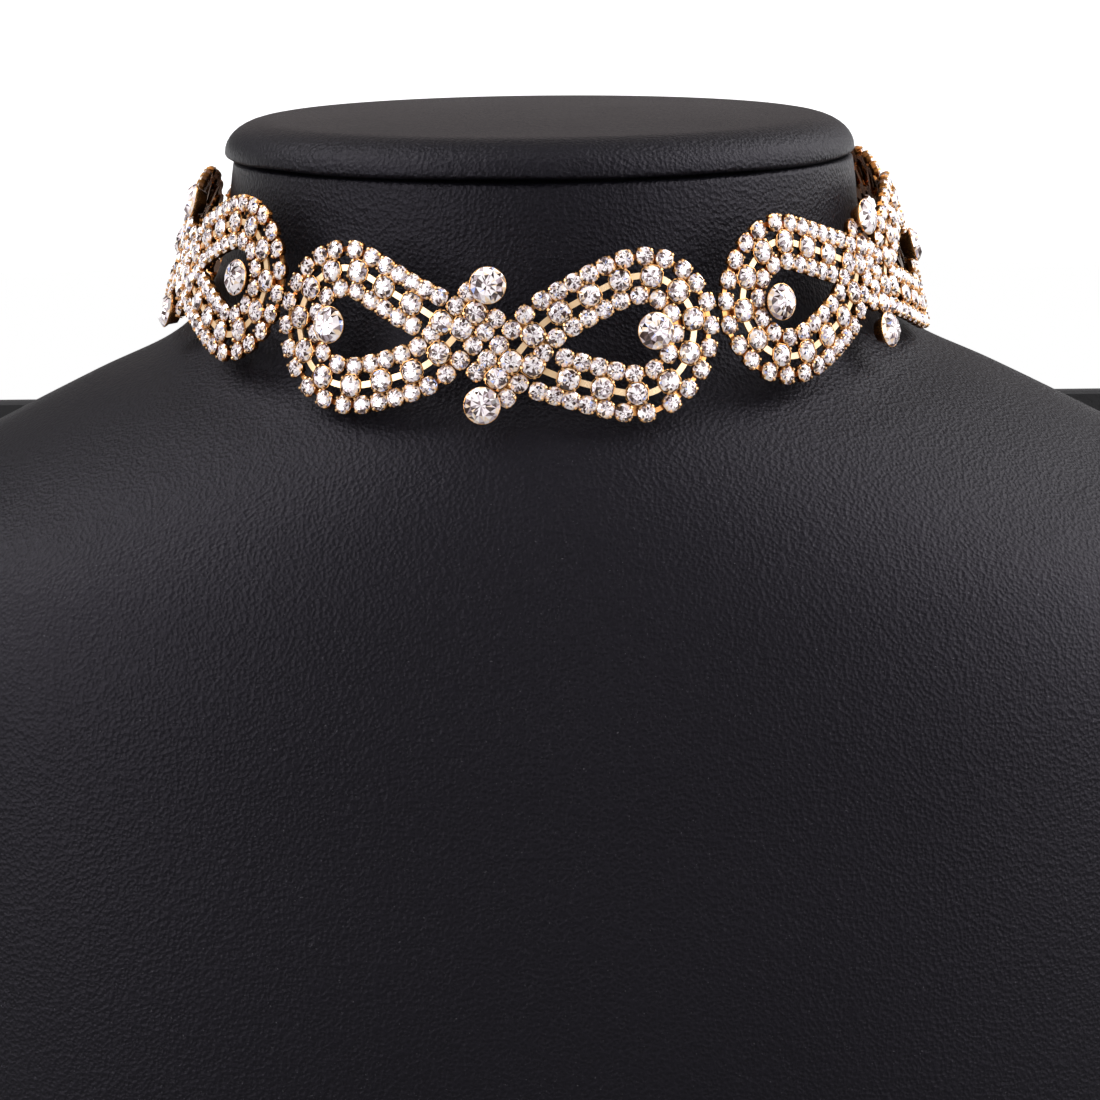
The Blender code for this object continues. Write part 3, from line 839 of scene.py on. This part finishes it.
def end_of_row(t):
    """Length along the path where the row at t comes up to the side of the first arm."""
    tries = np.arange(path.length - ROW_END_SEARCH, path.length + ROW_END_SEARCH, FINE_STEP / 2)
    return next(s for s in tries if path.from_arm(path.place(s, t)) < HALF_BAND + ROW_END_GAP)


def evenly(t, first, last, pace):
    """Lengths along the path from first to last, about pace apart in the row at t.

    Round the tip the inner row is set a little wider.
    """
    tries = np.arange(first, last + FINE_STEP, FINE_STEP)
    line = np.array([path.place(s, t) for s in tries])
    steps = np.linalg.norm(np.diff(line, axis=0), axis=1)
    count = round(BEND_WINDOW / FINE_STEP)
    half = count // 2
    padded = np.pad(steps, half, mode="edge")
    bend = np.convolve(padded, np.ones(count) / count, mode="same")[half:-half] / FINE_STEP
    paces = pace * (1.0 + BEND_EASE * np.clip((TIGHT_BEND - bend) / BEND_SPREAD, 0.0, 1.0))
    run = np.concatenate([[0.0], np.cumsum(steps / paces)])
    count = max(1, round(run[-1]))
    return list(np.interp(np.linspace(0.0, run[-1], count + 1), run, tries))


def outer_places(places):
    """The outer row: two small stones to each middle stone, evenly spaced round the tip."""
    pitch = places[3] - places[2]
    reach = SMALL_CUP / 2
    found = [places[0] - reach, places[0] + reach]
    for s in places[2:-1]:
        pair = pitch / 2 / min(path.stretch(s, ROW_SPACING), 1.0)
        if len(found) == 2:
            found.append((found[-1] + s - pair / 2) / 2)
        found += [s - pair / 2, s + pair / 2]
    return found + evenly(ROW_SPACING, found[-1], end_of_row(ROW_SPACING), OUTER_PACE)[1:]


def inner_places(places):
    """The inner row, and the place in it that a middle stone takes."""
    filled = places[1] + INNER_FILLED
    first = [places[0] + INNER_FIRST, places[1] + INNER_SECOND, filled]
    last = end_of_row(-ROW_SPACING)
    return first + evenly(-ROW_SPACING, filled + INNER_NEXT, last, INNER_PACE), filled


def big_places():
    inner = -LOOP_REACH + HALF_BAND - INNER_OVERLAP + BIG_RADIUS
    return (BIG_TOP_SIDE, BIG_TOP_RISE), (inner, 0.0)


# columns: share of the radius, height in millimetres, painted shading of the metal, dark at the foot
# and light on the rim
BIG_CUP_LEVELS = (
    (0.50, 0.30, 0.10),
    (0.60, 0.40, 0.15),
    (0.78, 1.60, 0.35),
    (0.97, 2.10, 0.55),
    (0.99, 2.32, 0.62),
    (0.96, 2.36, 0.62),
    (0.90, 2.20, 0.30),
)
BIG_SIDES = 32


def add_big_stone(metal, crystals, motif, half, spot, chance):
    seat = seat_at(motif, half, np.array(spot), np.array([1.0, 0.0]))
    outlines = []
    turns = [2 * math.pi * k / BIG_SIDES for k in range(BIG_SIDES)]
    for share, height, painted_shading in BIG_CUP_LEVELS:
        reach = BIG_RADIUS * share
        outlines.append([(reach * math.cos(turn), reach * math.sin(turn), height) for turn in turns])
    points, faces = prism(outlines)
    # Painted shade and light: each point takes its level's painted shading.
    painted_shadings = [level[2] for level in BIG_CUP_LEVELS for k in range(BIG_SIDES)]
    metal.add(points, faces, painted_shadings, seat)
    add_stone(crystals, seat, BIG_RADIUS * BIG_STONE_REACH, BIG_RIM, BIG_CROWN, BIG_WEDGES, chance)


def make_half(motif, half, chance):
    """Metal and crystals of one half of a motif."""
    side = "a" if half == 1 else "b"
    metal = Net("depth")
    crystals = Net("facet")
    places = middle_places()
    inner, filled = inner_places(places)
    rows = (
        [(s, 0.0, True) for s in places]
        + [(s, ROW_SPACING, False) for s in outer_places(places)]
        + [(s, -ROW_SPACING, s == filled) for s in inner])
    for s, t, large in rows:
        spot = path.place(s, t)
        seat = seat_at(motif, half, spot, path.heading(min(max(s, 0.0), path.length)))
        size, rise, reach, crown = MIDDLE_SET if large else SMALL_SET
        add_cup(metal, seat, size, rise)
        add_stone(crystals, seat, size * reach, CUP_RIM + rise, crown, WEDGES, chance)
    start = MIDDLE_STONE * BAR_START
    for first, second in zip(places[1:], places[2:]):
        ends = np.linspace(first + start, second - start, 4)
        row_strip(metal, motif, half, [path.place(s, 0.0) for s in ends], BAR_STRIP)
    joined = path.place(filled, -ROW_SPACING)
    last = path.place(places[-1] + start, 0.0)
    way = (joined - last) / np.linalg.norm(joined - last)
    end = joined - way * start
    row_strip(metal, motif, half, [last, (last + end) / 2, end], BAR_STRIP)
    for t, spots in ((ROW_SPACING, outer_places(places)), (-ROW_SPACING, inner)):
        line = [path.place(s, t) for s in (*np.arange(spots[0], spots[-1], STRIP_STEP), spots[-1])]
        row_strip(metal, motif, half, line, ROW_STRIP)
    for s in places:
        across = [path.place(s, t) for t in np.linspace(-ROW_SPACING, ROW_SPACING, 4)]
        row_strip(metal, motif, half, across, CROSS_STRIP)
    for spot in big_places():
        add_big_stone(metal, crystals, motif, half, spot, chance)
    name = motif[0]
    ends = ("top", "inner_a") if half == 1 else ("bottom", "inner_b")
    nodes = [f"{name}_band_{side}"] + [f"{name}_stone_{end}" for end in ends]
    for piece in (
            metal.piece(f"{name}_{side}_settings", gold, "gold"),
            crystals.piece(f"{name}_{side}_crystals", crystal, "crystal")):
        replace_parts(piece, *nodes)


# Clasp


def clasp_eyes():
    """For both ends of the loop: window of the band and eye of the clasp, as (u, v)."""
    places = middle_places()
    tip = min(range(len(places)), key=lambda k: path.middle(places[k])[0])
    across = (BAR_STRIP[0] / 2 + ROW_SPACING - SMALL_CUP / 2) / 2
    reach = LOOP_REACH + HALF_BAND + MOTIF_GAP + CLASP_HEIGHT / 2
    for half, place, k in ((1, -2, tip), (-1, 2, tip - 1)):
        x, y = path.place((places[k] + places[k + 1]) / 2, across)
        middle = TURN_ON_NECK + place * MOTIF_PITCH
        yield (middle + half * x, half * y), (middle - half * reach, half * y)


def make_link(window, eye, name):
    """A round ring of wire through a window of the band and the clasp's eye."""
    middle = (window[0] + eye[0]) / 2
    centre = neckline.point(middle, window[1], CLASP_REST + CLASP_THICKNESS / 2)
    out, up = neckline.frame(middle)[1:]
    along = out.cross(up)
    major = abs(window[0] - eye[0]) / 2
    outlines = []
    for k in range(LINK_STEPS):
        turn = 2 * math.pi * k / LINK_STEPS
        spoke = along * math.cos(turn) + out * math.sin(turn)
        rounds = [2 * math.pi * step / WIRE_SIDES for step in range(WIRE_SIDES)]
        outlines.append([
            centre + spoke * (major + LINK_WIRE / 2 * math.cos(a)) + up * LINK_WIRE / 2 * math.sin(a)
            for a in rounds])
    points, faces = prism(outlines + outlines[:1], closed=False)
    count = LINK_STEPS * WIRE_SIDES
    metal = Net("depth")
    metal.add(points[:count], [tuple(k % count for k in face) for face in faces], [WIRE_TONE] * count)
    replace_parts(metal.piece(f"{name}_wire", gold, "gold", smooth=True), name)


def make_clasp(eyes):
    """A plain bar with rounded ends and edges and an eye at each end, bent to the neckline."""
    outline = []
    for (u, v), first in zip(eyes, (90.0, -90.0)):
        turns = [math.radians(first + 7.5 * k) for k in range(25)]
        outline += [
            (u + CLASP_HEIGHT / 2 * math.cos(a), v + CLASP_HEIGHT / 2 * math.sin(a)) for a in turns]
    holes = []
    for u, v in eyes:
        turns = [2 * math.pi * k / EYE_SIDES for k in range(EYE_SIDES)]
        holes.append([
            (u + CLASP_EYE / 2 * math.cos(a), v + CLASP_EYE / 2 * math.sin(a)) for a in turns])
    shape = bpy.data.curves.new("clasp_plan", "CURVE")
    shape.dimensions = "2D"
    shape.fill_mode = "BOTH"
    shape.extrude = CLASP_THICKNESS / 2 - CLASP_EDGE
    shape.bevel_depth = CLASP_EDGE
    shape.bevel_resolution = 2
    shape.offset = -CLASP_EDGE
    for loop in [outline] + holes:
        spline = shape.splines.new("POLY")
        spline.points.add(len(loop) - 1)
        spline.use_cyclic_u = True
        for spot, (u, v) in zip(spline.points, loop):
            spot.co = (u, v, 0.0, 1.0)
    plan = bpy.data.objects.new("clasp_plan", shape)
    bpy.context.scene.collection.objects.link(plan)
    flat = bpy.data.meshes.new_from_object(plan.evaluated_get(bpy.context.evaluated_depsgraph_get()))
    bpy.data.objects.remove(plan, do_unlink=True)
    bm = bmesh.new()
    bm.from_mesh(flat)
    bmesh.ops.remove_doubles(bm, verts=bm.verts, dist=0.0001)
    bm.verts.index_update()
    metal = Net("depth")
    points = [
        neckline.point(v.co.x, v.co.y, CLASP_REST + CLASP_THICKNESS / 2 + v.co.z) for v in bm.verts]
    metal.add(points, [[v.index for v in face.verts] for face in bm.faces], [CLASP_TONE] * len(points))
    bm.free()
    bpy.data.meshes.remove(flat)
    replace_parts(metal.piece("clasp_bar", gold, "gold"), "clasp")


# Bust


def lowest_reach():
    """How far the motifs reach below the middle of the loop round the neck."""
    edge = [path.place(s, HALF_BAND) for s in np.linspace(0.0, path.length, 100)]
    return max(-lift - bow * (2 * x / MOTIF_PITCH) ** 2 - turned(x * half, y * half, tilt)[1]
               for name, place, lift, tilt, bow in MOTIFS for half in (1, -1) for x, y in edge)


def bust_sections():
    """Rows of the bust from the neck's top to its base, front, side and back of each."""
    neck = neckline.radius - NECK_EASE
    reach = lowest_reach()
    front = neckline.point(0.0, -reach, 0.0)
    side = neckline.point(RING_LENGTH / 4, -reach, 0.0)
    seats = (-front.y - SEAT_GAP, side.x - SEAT_GAP, neck + (BACK_DEPTH - neck) * BACK_SEAT_SHARE)
    heights = (front.z - SEAT_DROP, side.z - SEAT_DROP, -BACK_SEAT_DROP)
    widest = (CHEST_DEPTH, SHOULDER_HALF_WIDTH, BACK_DEPTH)
    rows = [
        (neck - NECK_TUCK,) * 3 + (NECK_TOP,) * 3 + (2.0,),
        (neck,) * 3 + (NECK_TOP - NECK_TUCK_DEPTH,) * 3 + (2.0,),
    ]
    for name, outs, downs, power in NECK_ROWS:
        reaches = [neck + (seat - neck) * share for seat, share in zip(seats, outs)]
        levels = [NECK_TOP + (height - NECK_TOP) * share for height, share in zip(heights, downs)]
        rows.append((*reaches, *levels, power))
    for name, outs, drops, power in SHOULDER_ROWS:
        reaches = [seat + (wide - seat) * share for seat, wide, share in zip(seats, widest, outs)]
        levels = [height - drop for height, drop in zip(heights, drops)]
        rows.append((*reaches, *levels, power))
    foot = (CHEST_DEPTH - BASE_TAPER, SHOULDER_HALF_WIDTH - 2 * BASE_TAPER, BACK_DEPTH)
    rows.append(widest + (-CHEST_DROP,) * 3 + (BASE_SQUARENESS,))
    rows.append(foot + (-BASE_DROP,) * 3 + (BASE_SQUARENESS,))
    return rows


def section_point(row, angle):
    """Point of a bust row at an angle from the front."""
    front_r, side_r, back_r, front_z, side_z, back_z, power = row
    c = math.cos(angle)
    s = math.sin(angle)
    exponent = 2.0 / power
    depth = front_r if c > 0 else back_r
    height = front_z if c > 0 else back_z
    back_exponent = exponent if c > 0 else exponent * (0.35 + 0.65 * (2.0 / power) ** 2)
    x = side_r * math.copysign(abs(s) ** exponent, s)
    y = -depth * math.copysign(abs(c) ** back_exponent, c)
    z = side_z + (height - side_z) * abs(c) ** SLOPE_POWER
    return Vector((x, y, z))


def make_bust():
    rows = smooth_through(bust_sections(), LOFT_STEPS)
    turns = [2 * math.pi * k / BUST_SIDES for k in range(BUST_SIDES)]
    outlines = [[section_point(row, turn) for turn in turns] for row in rows]
    wander = uneven(BUST_SIDES, NECK_WANDER)
    roll = []
    for low, tuck in NECK_ROLL:
        radius = neckline.radius - NECK_EASE - tuck
        level = NECK_TOP + SEAM_LIFT - NECK_WANDER - low
        roll.append([
            Vector((radius * math.sin(turn), -radius * math.cos(turn), level - lift))
            for turn, lift in zip(turns, wander)])
    outlines = roll + [outline for outline in outlines if outline[0].z < NECK_TOP - ROLL_DEPTH]
    points, faces = prism([list(reversed(outline)) for outline in outlines])
    body = Net("depth")
    body.add(points, faces, [1.0] * len(points))
    piece = body.piece("padded_bust", leatherette, "leatherette", smooth=True)
    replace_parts(piece, "bust_form")


def make_cap():
    """The padded cap: a wide soft rim, drawn in over the seam and a little uneven there."""
    radius = neckline.radius - NECK_EASE + CAP_OVERHANG
    bottom = NECK_TOP + SEAM_GAP + SEAM_LIFT
    thickness = CAP_THICKNESS + CAP_CROWN - SEAM_LIFT
    top = bottom + thickness
    profile = [
        (share * radius, top + CAP_DOME * (1 - share * share) - CAP_DOME_DROP)
        for share in CAP_DOME_SHARES]
    shoulder = radius - CAP_SHOULDER
    drop = thickness - CAP_LOW_ROUND
    for k in range(11):
        angle = math.radians(90.0 - 9.0 * k)
        profile.append((shoulder + CAP_SHOULDER * math.cos(angle), top - drop * (1 - math.sin(angle))))
    for k in range(1, 9):
        angle = math.radians(-12.0 * k)
        profile.append((
            radius - CAP_LOW_ROUND + CAP_LOW_ROUND * math.cos(angle),
            bottom + CAP_LOW_ROUND * (1 + math.sin(angle))))
    turns = [2 * math.pi * k / BUST_SIDES for k in range(BUST_SIDES)]
    wander = uneven(BUST_SIDES, CAP_WANDER)
    outlines = []
    creased = []
    for r, z in profile:
        share = max(0.0, 1.0 - (z - bottom) / (CREASE_SHARE * CAP_THICKNESS)) if r > shoulder else 0.0
        outlines.append([
            (CAP_SHIFT + r * math.sin(turn), -r * math.cos(turn), z + share * lift)
            for turn, lift in zip(turns, wander)])
        creased += [share] * BUST_SIDES
    points, faces = prism([list(reversed(outline)) for outline in outlines])
    cap = Net("depth")
    cap.add(points, faces, creased)
    piece = cap.piece("padded_cap", creased_leatherette, "leatherette", smooth=True)
    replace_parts(piece, "bust_cap")


def uneven(count, height):
    """A closed row of values that wander up to height above and below nothing."""
    wave = np.random.default_rng(WANDER_SEED).normal(size=count)
    apart = np.minimum(np.arange(count), count - np.arange(count))
    spread = np.exp(-0.5 * (apart / WANDER_SPREAD) ** 2)
    soft = np.real(np.fft.ifft(np.fft.fft(wave) * np.fft.fft(spread)))
    return height * soft / np.abs(soft).max()


def make_board():
    """The covered board behind the bust, its upper corners round and its edges soft."""
    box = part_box("back_board")
    low, high = ((Vector(corner) - NECK_ORIGIN) / MM for corner in box)
    outlines = []
    for share, inset in BOARD_EDGE_ROWS:
        y = low.y + (high.y - low.y) * share
        radius = BOARD_CORNER - inset
        left, right = low.x + BOARD_CORNER, high.x - BOARD_CORNER
        level = high.z - BOARD_CORNER
        outline = [(low.x + inset, y, low.z), (high.x - inset, y, low.z)]
        for centre, first in ((right, 0.0), (left, 90.0)):
            for k in range(13):
                angle = math.radians(first + 7.5 * k)
                outline.append((centre + radius * math.cos(angle), y, level + radius * math.sin(angle)))
        outlines.append(outline)
    points, faces = prism([list(reversed(outline)) for outline in outlines])
    board = Net("depth")
    board.add(points, faces, [0.0] * len(points))
    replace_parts(board.piece("covered_board", covered_board, "board"), "back_board")


# Camera, light and floor


def make_camera():
    pitch = math.radians(VIEW_PITCH)
    roll = math.radians(VIEW_ROLL)
    forward = Vector((0.0, math.cos(pitch), -math.sin(pitch)))
    right = Vector((1.0, 0.0, 0.0))
    up = right.cross(forward)
    side = right * math.cos(roll) + up * math.sin(roll)
    top = up * math.cos(roll) - right * math.sin(roll)
    lens = bpy.data.cameras.new("camera")
    lens.sensor_width = SENSOR
    lens.lens = FOCAL_PIXELS * SENSOR / IMAGE_WIDTH
    camera = bpy.data.objects.new("camera", lens)
    aim = Vector((VIEW_SIDE, 0.0, -VIEW_DROP))
    camera.matrix_world = Matrix.Translation(NECK_ORIGIN + (aim - forward * VIEW_DISTANCE) * MM) @ (
        Matrix((side, top, -forward)).transposed().to_4x4())
    lens.clip_end = CLIP_END
    bpy.context.scene.collection.objects.link(camera)
    bpy.context.scene.camera = camera


def add_light(name, place, watts, colour):
    light = bpy.data.lights.new(name, "AREA")
    light.shape = "SQUARE"
    light.size = LAMP_SIDE
    light.energy = watts
    light.color = colour
    lamp = bpy.data.objects.new(name, light)
    lamp.location = place
    lamp.rotation_mode = "QUATERNION"
    lamp.rotation_quaternion = (Vector(LAMP_AIM) - Vector(place)).to_track_quat("-Z", "Y")
    bpy.context.scene.collection.objects.link(lamp)


def make_floor():
    """A round white floor that turns up at its rim and glows softly, most behind the bust."""
    turns = [2 * math.pi * k / FLOOR_SIDES for k in range(FLOOR_SIDES)]
    outlines = []
    for step in range(FLOOR_STEPS + 1):
        share = step / FLOOR_STEPS
        radius = FLOOR_FLAT + (FLOOR_REACH - FLOOR_FLAT) * share
        height = FLOOR_RIM * share ** 3
        outlines.append([(radius * math.cos(turn), radius * math.sin(turn), height) for turn in turns])
    points, faces = prism(outlines, closed=False)
    faces.append(tuple(range(FLOOR_SIDES)))
    mesh = bpy.data.meshes.new("floor")
    mesh.from_pydata(points, [], faces)
    mesh.polygons.foreach_set("use_smooth", [True] * len(faces))
    paper = Finish("white_paper")
    back = paper.node("ShaderNodeSeparateXYZ", None, {0: paper.place()}, 1)
    apart = paper.node("ShaderNodeVectorMath", {"operation": "LENGTH"}, {0: paper.place()}, 1)
    near = paper.range(apart, *FRONT_GLOW_RANGE, FRONT_GLOW, FAR_GLOW)
    behind = paper.range(back, *FLOOR_GLOW_RANGE)
    glow = near.math("MAXIMUM", near, behind)
    paper.set(
        Base_Color=(0.86, 0.86, 0.87, 1.0),
        Roughness=0.9,
        Emission_Color=paper.mix(glow, (0.0, 0.0, 0.0), (1.0, 1.0, 1.0)),
        Emission_Strength=FLOOR_GLOW)
    mesh.materials.append(paper.material)
    floor = bpy.data.objects.new("floor", mesh)
    bpy.context.scene.collection.objects.link(floor)


def make_studio():
    world = bpy.data.worlds.new("studio")
    world.use_nodes = True
    sky = world.node_tree.nodes["Background"]
    sky.inputs["Color"].default_value = (1.0, 1.0, 1.0, 1.0)
    sky.inputs["Strength"].default_value = SKY
    bpy.context.scene.world = world
    bpy.context.scene.view_settings.view_transform = "Standard"
    for name, place, watts, colour in LAMPS:
        add_light(name, place, watts, colour)
    make_floor()


leatherette = leatherette_finish("leatherette", False)
creased_leatherette = leatherette_finish("creased_leatherette", True)
covered_board = board_finish()
gold = gold_finish()
crystal = crystal_finish()

chance = np.random.default_rng(FACET_SEED)
make_camera()
make_studio()
make_bust()
make_cap()
for motif in MOTIFS:
    for half in (1, -1):
        make_half(motif, half, chance)
(left_window, left_eye), (right_window, right_eye) = clasp_eyes()
make_link(left_window, left_eye, "clasp_ring_left")
make_link(right_window, right_eye, "clasp_ring_right")
make_clasp((right_eye, (left_eye[0] + RING_LENGTH, left_eye[1])))
make_board()
